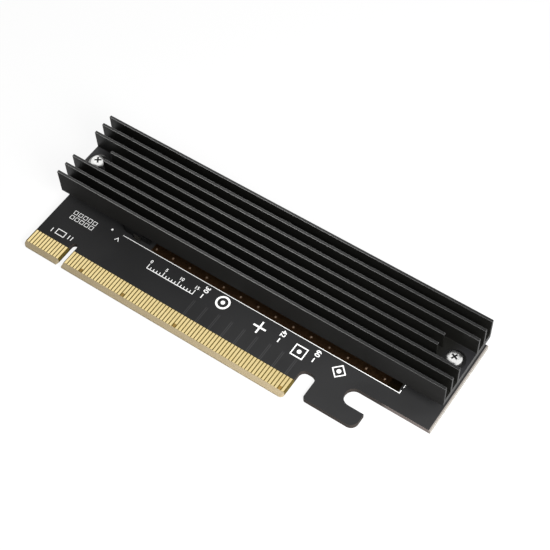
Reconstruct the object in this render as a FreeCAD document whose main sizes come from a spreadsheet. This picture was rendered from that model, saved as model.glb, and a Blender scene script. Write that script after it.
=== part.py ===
"""Carrier card for a gumstick solid-state drive: board with x16 contact edge, drive bay and finned heatsink.

The card lies flat on its solder side. +X runs along the contact edge from the first contact to the last,
+Y from the contact edge to the rear edge, +Z up from the solder side to the heatsink.
The origin is below the middle of the card, on the plane of the solder side. Lengths are in millimetres.
"""
import FreeCAD
import Part
import Sketcher

import os
from types import SimpleNamespace

SHEET_NAME = "Sizes"
OUTPUT_FOLDER = "parts"

# Driving dimensions: name, value, meaning
DRIVING_SIZES = (
    ("board_length", 120.0, "board, along the contact edge"),
    ("board_depth", 41.0, "board, from contact edge to rear edge"),
    ("board_thick", 1.6, "board thickness"),
    ("front_edge", 12.2, "from the contact edge back to the front edge beside the hook"),
    ("end_margin", 0.65, "end of the tab beyond the centre of its last contact"),
    ("tab_corner", 1.0, "corner radius of the contact tab"),
    ("bevel_long", 1.3, "bevel of the contact edge, across the board"),
    ("bevel_drop", 0.47, "bevel of the contact edge, into the thickness"),
    ("contact_pitch", 1.0, "spacing of the edge contacts"),
    ("contact_width", 0.7, "width of an edge contact"),
    ("contact_long", 4.3, "length of an edge contact"),
    ("contact_short_by", 1.1, "presence contacts end this much further from the edge"),
    ("foil_thick", 0.05, "thickness of the gilt copper, flush with the board"),
    ("contacts_before_key_count", 11, "edge contacts left of the key notch"),
    ("contacts_after_key_count", 71, "edge contacts right of the key notch"),
    ("key_extra", 2.0, "extra spacing of the contacts across the key notch"),
    ("key_width", 1.9, "width of the key notch"),
    ("key_depth", 7.8, "depth of the key notch"),
    ("end_notch_width", 4.55, "notch between the tab and the hook"),
    ("end_notch_depth", 9.5, "depth of that notch from the contact edge"),
    ("end_notch_round", 1.8, "radius of its inner corners"),
    ("hook_lift", 2.5, "lower edge of the hook above the contact edge"),
    ("hook_long", 15.2, "hook, from the end notch to its tip"),
    ("hook_foot", 4.6, "height of the hook's foot"),
    ("hook_heel_round", 0.8, "radius of the hook's corner beside the notch"),
    ("hook_toe_round", 2.2, "radius of the hook's outer corner"),
    ("slot_reach", 4.5, "from the hook's tip to the centre of the slot's round end"),
    ("sink_depth", 23.4, "heatsink, across the fins"),
    ("sink_height", 8.2, "heatsink height"),
    ("sink_base", 2.2, "thickness of the heatsink's base"),
    ("fin_thick", 0.75, "fin thickness"),
    ("fin_count", 8, "number of fins"),
    ("clearing_fin_count", 2, "number of middle fins milled back round the screws"),
    ("clearing_long", 8.0, "length by which the middle fins are milled back at each end"),
    ("spot_face_dia", 6.0, "spot face round each heatsink screw"),
    ("spot_face_depth", 0.2, "depth of the spot face"),
    ("bay_height", 4.4, "height of the drive bay, from board to heatsink"),
    ("screw_inset", 3.9, "heatsink screw from the end of the board"),
    ("screw_dia", 2.5, "thread diameter of the heatsink screws"),
    ("screw_long", 6.0, "length of the heatsink screws under the head"),
    ("screw_head_dia", 4.4, "head diameter of the heatsink screws"),
    ("screw_head_high", 1.6, "head height of the heatsink screws"),
    ("screw_head_bevel", 0.7, "bevel round the top of the heatsink screws' heads"),
    ("screw_hole_gap", 0.2, "clearance round the screws in the heatsink"),
    ("thread_gap", 0.05, "clearance of a thread in its bore"),
    ("standoff_wide", 5.0, "standoffs across their flats"),
    ("spigot_dia", 3.6, "diameter of the standoffs' spigots in the board"),
    ("bay_side", 0.75, "heatsink beyond the drive socket, at the rear"),
    ("socket_wall", 0.95, "wall of the drive socket beside its mouth"),
    ("socket_deep", 8.0, "drive socket, along the bay"),
    ("socket_high", 3.2, "drive socket height"),
    ("socket_lip", 2.0, "length by which the socket's roof stands back from its floor"),
    ("mouth_wide", 20.0, "socket mouth, across the bay"),
    ("mouth_high", 1.1, "socket mouth height"),
    ("mouth_lift", 1.25, "floor of the socket mouth above the board"),
    ("mouth_deep", 5.0, "depth of the socket mouth"),
    ("mouth_key_wide", 1.2, "key rib in the socket mouth"),
    ("mouth_side", 0.65, "socket mouth beyond the end contacts of the longer row"),
    ("pin_thick", 0.2, "thickness of a socket contact across the bay"),
    ("pin_strip", 0.15, "height of a socket contact's strip"),
    ("riser_inset", 0.3, "upright of an upper socket contact from the back of the socket"),
    ("pin_tail", 0.9, "length of a socket contact's solder tail"),
    ("pins_before_key_count", 29, "socket contacts of a row before the key"),
    ("pins_after_key_upper_count", 5, "upper socket contacts after the key"),
    ("pins_after_key_lower_count", 4, "lower socket contacts after the key"),
    ("pins_missing_at_key_count", 4, "socket contact places that the key takes"),
    ("lug_long", 2.4, "hold-down lug along the bay"),
    ("lug_foot", 0.6, "foot of a hold-down lug"),
    ("lug_high", 1.5, "height of a hold-down lug"),
    ("lug_thick", 0.2, "sheet thickness of a hold-down lug"),
    ("drive_short", 30.0, "shortest drive length that has a hole"),
    ("drive_medium", 42.0, "second drive length that has a hole"),
    ("drive_long", 60.0, "third drive length that has a hole"),
    ("drive_longest", 80.0, "drive length whose hole holds the post"),
    ("drive_end_room", 16.0, "from the post to the end of the board"),
    ("drive_hole_dia", 3.0, "drive hole"),
    ("post_dia", 4.4, "drive post diameter"),
    ("post_high", 1.25, "drive post height above the board"),
    ("drive_screw_dia", 2.0, "thread diameter of the drive screw"),
    ("drive_screw_long", 2.0, "length of the drive screw under the head"),
    ("drive_screw_head_dia", 4.0, "head diameter of the drive screw"),
    ("drive_screw_head_high", 0.8, "head height of the drive screw"),
    ("drive_screw_head_bevel", 0.3, "bevel round the top of the drive screw's head"),
    ("plane_rear", 0.75, "bay plane clear of the rear edge"),
    ("plane_wide", 22.5, "bay plane across the bay"),
    ("plane_gap", 1.3, "bay plane clear of the socket"),
    ("plane_past_post", 3.8, "bay plane beyond the middle of the post"),
    ("via_wide", 0.9, "bay via across its flats"),
    ("via_count", 14, "vias in the row"),
    ("via_inset", 0.65, "via row from the front of the bay plane"),
    ("via_end", 1.1, "first via from the socket end of the bay plane"),
    ("via_far_end", 4.6, "last via from the other end of the bay plane"),
    ("pad_long", 70.0, "heat pad along the bay"),
    ("pad_wide", 20.0, "heat pad across the bay"),
    ("pad_thick", 0.8, "heat pad thickness"),
    ("pad_gap", 2.6, "heat pad clear of the socket"),
)

# Presence contacts, counted from the first contact
SHORT_CONTACTS_FRONT = (17, 31, 48, 81)
SHORT_CONTACTS_BACK = (1,)

# Half the side of an octagon, over half its width across the flats
OCTAGON_SIDE = 2 ** 0.5 - 1

# Corner of a hexagon from its middle, over its width across the flats
HEXAGON_CORNER = 1 / 3 ** 0.5


class Size:
    """A length together with the sheet formula that gives it."""

    def __init__(self, value, formula):
        self.value = float(value)
        self.formula = formula

    @staticmethod
    def of(other):
        return other if isinstance(other, Size) else Size(other, repr(float(other)))

    def joined(self, other, sign, value):
        return Size(value, f"({self.formula} {sign} {other.formula})")

    def __add__(self, other):
        other = Size.of(other)
        return self.joined(other, "+", self.value + other.value)

    def __sub__(self, other):
        other = Size.of(other)
        return self.joined(other, "-", self.value - other.value)

    def __mul__(self, other):
        other = Size.of(other)
        return self.joined(other, "*", self.value * other.value)

    def __truediv__(self, other):
        other = Size.of(other)
        return self.joined(other, "/", self.value / other.value)

    def __radd__(self, other):
        return Size.of(other) + self

    def __rsub__(self, other):
        return Size.of(other) - self

    def __rmul__(self, other):
        return Size.of(other) * self

    def __neg__(self):
        return Size.of(0) - self


ZERO = Size.of(0)


def make_sheet(doc):
    """Write the driving sizes to the sheet and return them by name."""
    sheet = doc.addObject("Spreadsheet::Sheet", SHEET_NAME)
    for row, (name, value, meaning) in enumerate(DRIVING_SIZES, start=1):
        sheet.set(f"A{row}", name)
        sheet.set(f"B{row}", str(value))
        sheet.setAlias(f"B{row}", name)
        sheet.set(f"C{row}", meaning)
    doc.recompute()
    return SimpleNamespace(**{name: Size(value, f"{SHEET_NAME}.{name}") for name, value, _ in DRIVING_SIZES})


def new_body(doc, label):
    body = doc.addObject("PartDesign::Body", label)
    body.Label = label
    return body


def move_to(thing, x, y, z):
    """Bind the place of a sub-part to the sheet."""
    for axis, size in zip("xyz", (x, y, z)):
        thing.setExpression(f"Placement.Base.{axis}", size.formula)


def origin_feature(body, role):
    return next(feature for feature in body.Origin.OriginFeatures if feature.Role == role)


def new_sketch(body, name, plane, lift=ZERO):
    """A sketch on one of the body's own planes, lifted along the plane's normal."""
    sketch = body.newObject("Sketcher::SketchObject", name)
    sketch.AttachmentSupport = [(origin_feature(body, plane), "")]
    sketch.MapMode = "FlatFace"
    sketch.setExpression("AttachmentOffset.Base.z", lift.formula)
    return sketch


def constrain(sketch, constraint, size):
    index = sketch.addConstraint(constraint)
    sketch.setExpression(f"Constraints[{index}]", size.formula)


def fix_point(sketch, geometry, point, x, y):
    """Hold one point of a sketch element at its distances from the sketch origin."""
    constrain(sketch, Sketcher.Constraint("DistanceX", -1, 1, geometry, point, x.value), x)
    constrain(sketch, Sketcher.Constraint("DistanceY", -1, 1, geometry, point, y.value), y)


def vector(x, y):
    return FreeCAD.Vector(x.value, y.value, 0)


def direction(start, end):
    """Unit step, along X or Y, from one corner of a square-cornered outline to the next."""
    step = vector(*end[:2]) - vector(*start[:2])
    step.normalize()
    return round(step.x), round(step.y)


def rounded_stops(before, corner, after):
    """Where the rounding of a square corner starts and ends."""
    x, y, radius = corner
    in_x, in_y = direction(before, corner)
    out_x, out_y = direction(corner, after)
    start = (x - radius * in_x, y - radius * in_y)
    end = (x + radius * out_x, y + radius * out_y)
    centre = vector(start[0] + radius * out_x, start[1] + radius * out_y)
    turns_left = in_x * out_y - in_y * out_x > 0
    return start, end, centre, turns_left


def add_corner_arc(sketch, start, end, centre, radius, turns_left):
    """Add the arc of a rounded corner; return it with the numbers of its first and last point."""
    first, last = (start, end) if turns_left else (end, start)
    circle = Part.Circle(centre, FreeCAD.Vector(0, 0, 1), radius.value)
    arc = Part.ArcOfCircle(circle, circle.parameter(vector(*first)), circle.parameter(vector(*last)))
    number = sketch.addGeometry(arc, False)
    constrain(sketch, Sketcher.Constraint("Radius", number, radius.value), radius)
    return (number, 1, 2) if turns_left else (number, 2, 1)


def outline(sketch, corners):
    """Closed outline through corners (x, y) or, where a square corner is rounded, (x, y, radius)."""
    count = len(corners)
    stops = []
    for index, corner in enumerate(corners):
        if len(corner) == 2:
            stops.append((corner, corner, None))
            continue
        before = corners[index - 1]
        after = corners[(index + 1) % count]
        start, end, centre, turns_left = rounded_stops(before, corner, after)
        arc = add_corner_arc(sketch, start, end, centre, corner[2], turns_left)
        stops.append((start, end, arc))
    lines = []
    for index, (_, leave, _) in enumerate(stops):
        arrive = stops[(index + 1) % count][0]
        line = sketch.addGeometry(Part.LineSegment(vector(*leave), vector(*arrive)), False)
        fix_point(sketch, line, 1, *leave)
        lines.append(line)
    for index, line in enumerate(lines):
        arrive, _, arc = stops[(index + 1) % count]
        following = lines[(index + 1) % count]
        if arc is None:
            sketch.addConstraint(Sketcher.Constraint("Coincident", line, 2, following, 1))
            continue
        number, first, last = arc
        fix_point(sketch, line, 2, *arrive)
        sketch.addConstraint(Sketcher.Constraint("Coincident", line, 2, number, first))
        sketch.addConstraint(Sketcher.Constraint("Coincident", number, last, following, 1))


def rectangle(sketch, x_low, y_low, x_high, y_high):
    outline(sketch, ((x_low, y_low), (x_high, y_low), (x_high, y_high), (x_low, y_high)))


def circle(sketch, x, y, diameter):
    ring = Part.Circle(vector(x, y), FreeCAD.Vector(0, 0, 1), diameter.value / 2)
    number = sketch.addGeometry(ring, False)
    fix_point(sketch, number, 3, x, y)
    constrain(sketch, Sketcher.Constraint("Diameter", number, diameter.value), diameter)


def octagon(sketch, x, y, width):
    flat = width / 2
    side = flat * OCTAGON_SIDE
    outline(sketch, (
        (x - side, y - flat), (x + side, y - flat), (x + flat, y - side), (x + flat, y + side),
        (x + side, y + flat), (x - side, y + flat), (x - flat, y + side), (x - flat, y - side),
    ))


def hexagon(sketch, x, y, width):
    flat = width / 2
    corner = width * HEXAGON_CORNER
    side = corner / 2
    outline(sketch, (
        (x - side, y - flat), (x + side, y - flat), (x + corner, y),
        (x + side, y + flat), (x - side, y + flat), (x - corner, y),
    ))


def pad(body, name, sketch, length):
    feature = body.newObject("PartDesign::Pad", name)
    feature.Profile = sketch
    feature.setExpression("Length", length.formula)
    return feature


def pocket(body, name, sketch, depth=None):
    """Cut against the sketch's normal, to a depth or right through."""
    feature = body.newObject("PartDesign::Pocket", name)
    feature.Profile = sketch
    if depth is None:
        feature.Type = "ThroughAll"
    else:
        feature.setExpression("Length", depth.formula)
    return feature


def row_of(body, name, feature, axis, pitch, count):
    """Repeat a feature along one of the body's axes."""
    pattern = body.newObject("PartDesign::LinearPattern", name)
    pattern.Originals = [feature]
    pattern.Direction = (origin_feature(body, axis), [""])
    pattern.setExpression("Length", (pitch * (count - 1)).formula)
    pattern.setExpression("Occurrences", count.formula)
    body.Tip = pattern
    return pattern


def turned(body, name, corners):
    """Revolve a half-section in X and Z about the body's Z axis."""
    sketch = new_sketch(body, f"{name}_section", "XZ_Plane")
    outline(sketch, corners)
    feature = body.newObject("PartDesign::Revolution", name)
    feature.Profile = sketch
    feature.ReferenceAxis = (sketch, ["V_Axis"])
    feature.Angle = 360
    return feature


def cut_out(doc, label, whole, tools):
    """The whole piece less the inlaid pieces."""
    gathered = doc.addObject("Part::Compound", f"{label}_inlays")
    gathered.Links = tools
    result = doc.addObject("Part::Cut", label)
    result.Label = label
    result.Base = whole
    result.Tool = gathered
    return result


def places(d):
    """Positions that several pieces share, worked out from the driving sizes."""
    p = SimpleNamespace()
    p.left = -d.board_length / 2
    p.right = d.board_length / 2
    p.contact_edge = -d.board_depth / 2
    p.rear = d.board_depth / 2
    p.front = p.contact_edge + d.front_edge
    p.first_contact = p.left + d.end_margin
    p.key_centre = p.first_contact + d.contact_pitch * (d.contacts_before_key_count - 0.5) + d.key_extra / 2
    p.first_after_key = p.first_contact + d.contact_pitch * d.contacts_before_key_count + d.key_extra
    p.tab_right = p.first_after_key + d.contact_pitch * (d.contacts_after_key_count - 1) + d.end_margin
    p.hook_left = p.tab_right + d.end_notch_width
    p.hook_tip = p.hook_left + d.hook_long
    p.contact_tip = p.contact_edge + d.bevel_long
    p.contact_head = p.contact_tip + d.contact_long
    p.sink_front = p.rear - d.sink_depth
    p.sink_middle = p.rear - d.sink_depth / 2
    p.socket_wide = d.mouth_wide + d.socket_wall * 2
    p.bay_middle = p.rear - d.bay_side - p.socket_wide / 2
    p.sink_low = d.board_thick + d.bay_height
    p.screw_seat = p.sink_low + d.sink_base - d.spot_face_depth
    p.screw_left = p.left + d.screw_inset
    p.screw_span = d.board_length - d.screw_inset * 2
    p.screw_places = (p.screw_left, p.screw_left + p.screw_span)
    p.post_x = p.right - d.drive_end_room
    p.drive_tip = p.post_x - d.drive_longest
    p.socket_face = p.drive_tip + d.mouth_deep
    p.socket_back = p.socket_face - d.socket_deep
    shorter_drives = (d.drive_short, d.drive_medium, d.drive_long)
    p.drive_holes = [p.drive_tip + length for length in shorter_drives] + [p.post_x]
    p.pin_places = d.pins_before_key_count + d.pins_missing_at_key_count + d.pins_after_key_upper_count
    p.pin_pitch = (d.mouth_wide - d.mouth_side * 2 - d.pin_thick) / (p.pin_places - 1)
    p.first_pin = p.bay_middle + p.pin_pitch * (p.pin_places - 1) / 2
    p.plane_left = p.socket_face + d.plane_gap
    p.plane_right = p.post_x + d.plane_past_post
    p.plane_high = p.rear - d.plane_rear
    p.plane_low = p.plane_high - d.plane_wide
    p.first_via = p.plane_left + d.via_end
    p.via_row = p.plane_low + d.via_inset
    p.via_pitch = (p.plane_right - d.via_far_end - p.first_via) / (d.via_count - 1)
    return p


def contact_place(d, p, number):
    """X of an edge contact, counted from the first one."""
    if number <= d.contacts_before_key_count.value:
        return p.first_contact + d.contact_pitch * (number - 1)
    return p.first_after_key + d.contact_pitch * (number - 1 - d.contacts_before_key_count)


def make_edge_contacts(doc, d, p, label, base, short_contacts):
    """One side's row of edge contacts, broken by the key, with the presence contacts cut short."""
    body = new_body(doc, label)
    groups = (
        ("before_key", p.first_contact, d.contacts_before_key_count),
        ("after_key", p.first_after_key, d.contacts_after_key_count),
    )
    for group, first, count in groups:
        sketch = new_sketch(body, f"{label}_{group}_outline", "XY_Plane", base)
        half = d.contact_width / 2
        rectangle(sketch, first - half, p.contact_tip, first + half, p.contact_head)
        contact = pad(body, f"{label}_{group}_first", sketch, d.foil_thick)
        row_of(body, f"{label}_{group}", contact, "X_Axis", d.contact_pitch, count)
    sketch = new_sketch(body, f"{label}_short_outline", "XY_Plane", base + d.foil_thick)
    for number in short_contacts:
        middle = contact_place(d, p, number)
        half = d.contact_pitch / 2
        rectangle(sketch, middle - half, p.contact_edge, middle + half, p.contact_tip + d.contact_short_by)
    body.Tip = pocket(body, f"{label}_short", sketch)
    return body


def make_bay_plane(doc, d, p):
    """Gilt copper field under the drive, pierced by the drive holes and the vias."""
    body = new_body(doc, "ssd_bay_plane")
    low = d.board_thick - d.foil_thick
    sketch = new_sketch(body, "plane_outline", "XY_Plane", low)
    rectangle(sketch, p.plane_left, p.plane_low, p.plane_right, p.plane_high)
    pad(body, "plane_field", sketch, d.foil_thick)
    sketch = new_sketch(body, "plane_drive_holes", "XY_Plane", d.board_thick)
    for x in p.drive_holes:
        circle(sketch, x, p.bay_middle, d.drive_hole_dia)
    pocket(body, "plane_holes", sketch)
    sketch = new_sketch(body, "plane_via_hole", "XY_Plane", d.board_thick)
    octagon(sketch, p.first_via, p.via_row, d.via_wide)
    hole = pocket(body, "plane_via_cut", sketch)
    row_of(body, "plane_via_cuts", hole, "X_Axis", p.via_pitch, d.via_count)
    return body


def make_bay_vias(doc, d, p):
    """Row of plated vias through the board, along the front of the bay plane."""
    body = new_body(doc, "bay_vias")
    sketch = new_sketch(body, "via_outline", "XY_Plane")
    octagon(sketch, p.first_via, p.via_row, d.via_wide)
    via = pad(body, "via_first", sketch, d.board_thick)
    row_of(body, "via_row", via, "X_Axis", p.via_pitch, d.via_count)
    return body


def make_circuit_board(doc, d, p, inlays):
    """Routed board with contact tab, key notch, end notch, hook and slot, bevelled along the contact edge."""
    body = new_body(doc, "board_blank")
    hook_low = p.contact_edge + d.hook_lift
    foot_top = hook_low + d.hook_foot
    notch_top = p.contact_edge + d.end_notch_depth
    slot_x = p.hook_tip - d.slot_reach
    slot_width = p.front - foot_top

    sketch = new_sketch(body, "board_outline", "XY_Plane")
    outline(sketch, (
        (p.left, p.contact_edge, d.tab_corner),
        (p.tab_right, p.contact_edge, d.tab_corner),
        (p.tab_right, notch_top, d.end_notch_round),
        (p.hook_left, notch_top, d.end_notch_round),
        (p.hook_left, hook_low, d.hook_heel_round),
        (p.hook_tip, hook_low, d.hook_toe_round),
        (p.hook_tip, foot_top),
        (slot_x, foot_top),
        (slot_x, p.front),
        (p.right, p.front),
        (p.right, p.rear),
        (p.left, p.rear),
    ))
    pad(body, "board_sheet", sketch, d.board_thick)

    sketch = new_sketch(body, "slot_round_end", "XY_Plane", d.board_thick)
    circle(sketch, slot_x, foot_top + slot_width / 2, slot_width)
    pocket(body, "slot_round", sketch)

    key_round = p.contact_edge + d.key_depth - d.key_width / 2
    sketch = new_sketch(body, "key_notch_outline", "XY_Plane", d.board_thick)
    key_half = d.key_width / 2
    rectangle(sketch, p.key_centre - key_half, p.contact_edge, p.key_centre + key_half, key_round)
    pocket(body, "key_notch", sketch)
    sketch = new_sketch(body, "key_notch_round_end", "XY_Plane", d.board_thick)
    circle(sketch, p.key_centre, key_round, d.key_width)
    pocket(body, "key_round", sketch)

    bevel_top = d.board_thick - d.bevel_drop
    sketch = new_sketch(body, "bevel_section", "YZ_Plane", p.right)
    outline(sketch, ((p.contact_edge, ZERO), (p.contact_edge, d.bevel_drop), (p.contact_tip, ZERO)))
    upper = ((p.contact_edge, d.board_thick), (p.contact_tip, d.board_thick), (p.contact_edge, bevel_top))
    outline(sketch, upper)
    pocket(body, "bevel", sketch)

    sketch = new_sketch(body, "board_holes_outline", "XY_Plane", d.board_thick)
    for x in p.screw_places:
        circle(sketch, x, p.sink_middle, d.spigot_dia)
    for x in p.drive_holes:
        circle(sketch, x, p.bay_middle, d.drive_hole_dia)
    body.Tip = pocket(body, "board_holes", sketch)
    return cut_out(doc, "circuit_board", body, inlays)


def make_heatsink(doc, d, p):
    """Extruded comb of fins on a base, the middle fins milled back round the two screws."""
    body = new_body(doc, "heatsink")
    fin_pitch = (d.sink_depth - d.fin_thick) / (d.fin_count - 1)
    base_top = p.sink_low + d.sink_base
    sink_top = p.sink_low + d.sink_height

    sketch = new_sketch(body, "sink_base_section", "YZ_Plane", p.left)
    rectangle(sketch, p.sink_front, p.sink_low, p.rear, base_top)
    pad(body, "sink_base_plate", sketch, d.board_length)
    sketch = new_sketch(body, "fin_section", "YZ_Plane", p.left)
    rectangle(sketch, p.sink_front, base_top, p.sink_front + d.fin_thick, sink_top)
    fin = pad(body, "fin_first", sketch, d.board_length)
    row_of(body, "fins", fin, "Y_Axis", fin_pitch, d.fin_count)

    clearing_half = (fin_pitch * (d.clearing_fin_count + 1) - d.fin_thick) / 2
    sketch = new_sketch(body, "clearing_outlines", "XY_Plane", sink_top)
    for x_low, x_high in ((p.left, p.left + d.clearing_long), (p.right - d.clearing_long, p.right)):
        rectangle(sketch, x_low, p.sink_middle - clearing_half, x_high, p.sink_middle + clearing_half)
    pocket(body, "clearings", sketch, d.sink_height - d.sink_base)

    hole_dia = d.screw_dia + d.screw_hole_gap * 2
    cuts = (
        ("spot_faces", d.spot_face_dia, d.spot_face_depth),
        ("screw_holes", hole_dia, None),
    )
    for name, diameter, depth in cuts:
        sketch = new_sketch(body, f"{name}_outline", "XY_Plane", base_top)
        for x in p.screw_places:
            circle(sketch, x, p.sink_middle, diameter)
        body.Tip = pocket(body, name, sketch, depth)
    return body


def screw_section(dia, length, head_dia, head_high, head_bevel):
    """Half-section of a screw whose bevelled head sits on the plane z = 0."""
    return (
        (ZERO, -length),
        (dia / 2, -length),
        (dia / 2, ZERO),
        (head_dia / 2, ZERO),
        (head_dia / 2, head_high - head_bevel),
        (head_dia / 2 - head_bevel, head_high),
        (ZERO, head_high),
    )


def make_heatsink_screws(doc, d, p):
    body = new_body(doc, "heatsink_screws")
    section = screw_section(
        d.screw_dia, d.screw_long, d.screw_head_dia, d.screw_head_high, d.screw_head_bevel)
    screw = turned(body, "heatsink_screw", section)
    row_of(body, "heatsink_screw_pair", screw, "X_Axis", p.screw_span, Size.of(2))
    move_to(body, p.screw_left, p.sink_middle, p.screw_seat)
    return body


def make_heatsink_standoffs(doc, d, p):
    """Hexagonal tapped spacers that stand on the board, each with a spigot through it."""
    body = new_body(doc, "heatsink_standoffs")
    sketch = new_sketch(body, "standoff_hexagons", "XY_Plane", d.board_thick)
    for x in p.screw_places:
        hexagon(sketch, x, p.sink_middle, d.standoff_wide)
    pad(body, "standoff_pair", sketch, d.bay_height)
    sketch = new_sketch(body, "standoff_spigot_outline", "XY_Plane")
    for x in p.screw_places:
        circle(sketch, x, p.sink_middle, d.spigot_dia)
    pad(body, "standoff_spigots", sketch, d.board_thick)
    sketch = new_sketch(body, "standoff_bore_outline", "XY_Plane", p.sink_low)
    for x in p.screw_places:
        circle(sketch, x, p.sink_middle, d.screw_dia + d.thread_gap * 2)
    body.Tip = pocket(body, "standoff_bores", sketch)
    return body


def spigot_section(bore_dia, spigot_dia, body_dia, height, board_thick):
    """Half-section of a tapped spacer that stands on the board with a spigot through it."""
    return (
        (bore_dia / 2, -board_thick),
        (spigot_dia / 2, -board_thick),
        (spigot_dia / 2, ZERO),
        (body_dia / 2, ZERO),
        (body_dia / 2, height),
        (bore_dia / 2, height),
    )


def make_ssd_post(doc, d, p):
    body = new_body(doc, "ssd_post")
    bore = d.drive_screw_dia + d.thread_gap * 2
    section = spigot_section(bore, d.drive_hole_dia, d.post_dia, d.post_high, d.board_thick)
    turned(body, "post", section)
    move_to(body, p.post_x, p.bay_middle, d.board_thick)
    return body


def make_ssd_screw(doc, d, p):
    body = new_body(doc, "ssd_screw")
    section = screw_section(
        d.drive_screw_dia, d.drive_screw_long,
        d.drive_screw_head_dia, d.drive_screw_head_high, d.drive_screw_head_bevel)
    turned(body, "drive_screw", section)
    move_to(body, p.post_x, p.bay_middle, d.board_thick + d.post_high)
    return body


def make_thermal_pad(doc, d, p):
    body = new_body(doc, "thermal_pad")
    x_low = p.socket_face + d.pad_gap
    half = d.pad_wide / 2
    sketch = new_sketch(body, "heat_pad_outline", "XY_Plane", p.sink_low - d.pad_thick)
    rectangle(sketch, x_low, p.bay_middle - half, x_low + d.pad_long, p.bay_middle + half)
    pad(body, "heat_pad", sketch, d.pad_thick)
    return body


def make_socket_contacts(doc, d, p, label, section, first_y, after_key):
    """One row of socket contacts, broken by the key: a strip section repeated across the bay."""
    body = new_body(doc, label)
    resume_y = first_y - p.pin_pitch * (d.pins_before_key_count + d.pins_missing_at_key_count)
    groups = (
        ("before_key", first_y, d.pins_before_key_count),
        ("after_key", resume_y, after_key),
    )
    for group, y, count in groups:
        sketch = new_sketch(body, f"{label}_{group}_section", "XZ_Plane", -(y + d.pin_thick / 2))
        outline(sketch, section)
        contact = pad(body, f"{label}_{group}_first", sketch, d.pin_thick)
        pattern = row_of(body, f"{label}_{group}", contact, "Y_Axis", p.pin_pitch, count)
        pattern.Reversed = True
    return body


def make_upper_contacts(doc, d, p):
    """Upper row: tails behind the socket, risers in its back wall, tongues under the mouth's ceiling."""
    board = d.board_thick
    ceiling = board + d.mouth_lift + d.mouth_high
    riser = p.socket_back + d.riser_inset
    tongue_end = p.socket_face - d.socket_lip - d.pin_strip
    section = (
        (p.socket_back - d.pin_tail, board),
        (riser + d.pin_strip, board),
        (riser + d.pin_strip, ceiling - d.pin_strip),
        (tongue_end, ceiling - d.pin_strip),
        (tongue_end, ceiling),
        (riser, ceiling),
        (riser, board + d.pin_strip),
        (p.socket_back - d.pin_tail, board + d.pin_strip),
    )
    return make_socket_contacts(
        doc, d, p, "m2_socket_upper_contacts", section, p.first_pin, d.pins_after_key_upper_count)


def make_lower_contacts(doc, d, p):
    """Lower row: tongues on the mouth's floor, bent down its front to the board, half a pitch aside."""
    board = d.board_thick
    floor = board + d.mouth_lift
    section = (
        (p.drive_tip + d.pin_strip, floor),
        (p.socket_face, floor),
        (p.socket_face, board),
        (p.socket_face + d.pin_tail, board),
        (p.socket_face + d.pin_tail, board + d.pin_strip),
        (p.socket_face + d.pin_strip, board + d.pin_strip),
        (p.socket_face + d.pin_strip, floor + d.pin_strip),
        (p.drive_tip + d.pin_strip, floor + d.pin_strip),
    )
    first_y = p.first_pin - p.pin_pitch / 2
    return make_socket_contacts(
        doc, d, p, "m2_socket_lower_contacts", section, first_y, d.pins_after_key_lower_count)


def make_socket_housing(doc, d, p, upper_contacts):
    """Moulded socket with a keyed mouth towards the drive, its roof set back over the mouth."""
    body = new_body(doc, "socket_moulding")
    half = p.socket_wide / 2
    floor = d.board_thick + d.mouth_lift
    ceiling = floor + d.mouth_high
    top = d.board_thick + d.socket_high
    sketch = new_sketch(body, "socket_section", "XZ_Plane", -(p.bay_middle + half))
    outline(sketch, (
        (p.socket_back, d.board_thick),
        (p.socket_face, d.board_thick),
        (p.socket_face, ceiling),
        (p.socket_face - d.socket_lip, ceiling),
        (p.socket_face - d.socket_lip, top),
        (p.socket_back, top),
    ))
    pad(body, "socket_block", sketch, p.socket_wide)

    key_middle = p.first_pin - p.pin_pitch * (d.pins_before_key_count + (d.pins_missing_at_key_count - 1) / 2)
    key_half = d.mouth_key_wide / 2
    mouth_half = d.mouth_wide / 2
    sketch = new_sketch(body, "mouth_outline", "YZ_Plane", p.socket_face)
    rectangle(sketch, p.bay_middle - mouth_half, floor, key_middle - key_half, ceiling)
    rectangle(sketch, key_middle + key_half, floor, p.bay_middle + mouth_half, ceiling)
    body.Tip = pocket(body, "mouth", sketch, d.mouth_deep)
    return cut_out(doc, "m2_socket_housing", body, [upper_contacts])


def make_socket_lugs(doc, d, p):
    """Sheet-metal lugs soldered to the board at the two ends of the socket."""
    body = new_body(doc, "m2_socket_lugs")
    middle = p.socket_back + d.socket_deep / 2
    board = d.board_thick
    sketch = new_sketch(body, "lug_section", "YZ_Plane", middle - d.lug_long / 2)
    for side in (-1, 1):
        wall = p.bay_middle + p.socket_wide / 2 * side
        skin = wall + d.lug_thick * side
        toe = wall + d.lug_foot * side
        outline(sketch, (
            (wall, board),
            (toe, board),
            (toe, board + d.lug_thick),
            (skin, board + d.lug_thick),
            (skin, board + d.lug_high),
            (wall, board + d.lug_high),
        ))
    pad(body, "lugs", sketch, d.lug_long)
    return body


def make_nodes(doc, d, p):
    """Every separate piece of the card."""
    front_base = d.board_thick - d.foil_thick
    front = make_edge_contacts(doc, d, p, "edge_contacts_front", front_base, SHORT_CONTACTS_FRONT)
    back = make_edge_contacts(doc, d, p, "edge_contacts_back", ZERO, SHORT_CONTACTS_BACK)
    plane = make_bay_plane(doc, d, p)
    vias = make_bay_vias(doc, d, p)
    board = make_circuit_board(doc, d, p, [front, back, plane, vias])
    upper = make_upper_contacts(doc, d, p)
    lower = make_lower_contacts(doc, d, p)
    return [
        board, front, back, plane, vias, upper, lower,
        make_socket_housing(doc, d, p, upper),
        make_socket_lugs(doc, d, p),
        make_heatsink(doc, d, p),
        make_heatsink_screws(doc, d, p),
        make_heatsink_standoffs(doc, d, p),
        make_ssd_post(doc, d, p),
        make_ssd_screw(doc, d, p),
        make_thermal_pad(doc, d, p),
    ]


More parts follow.
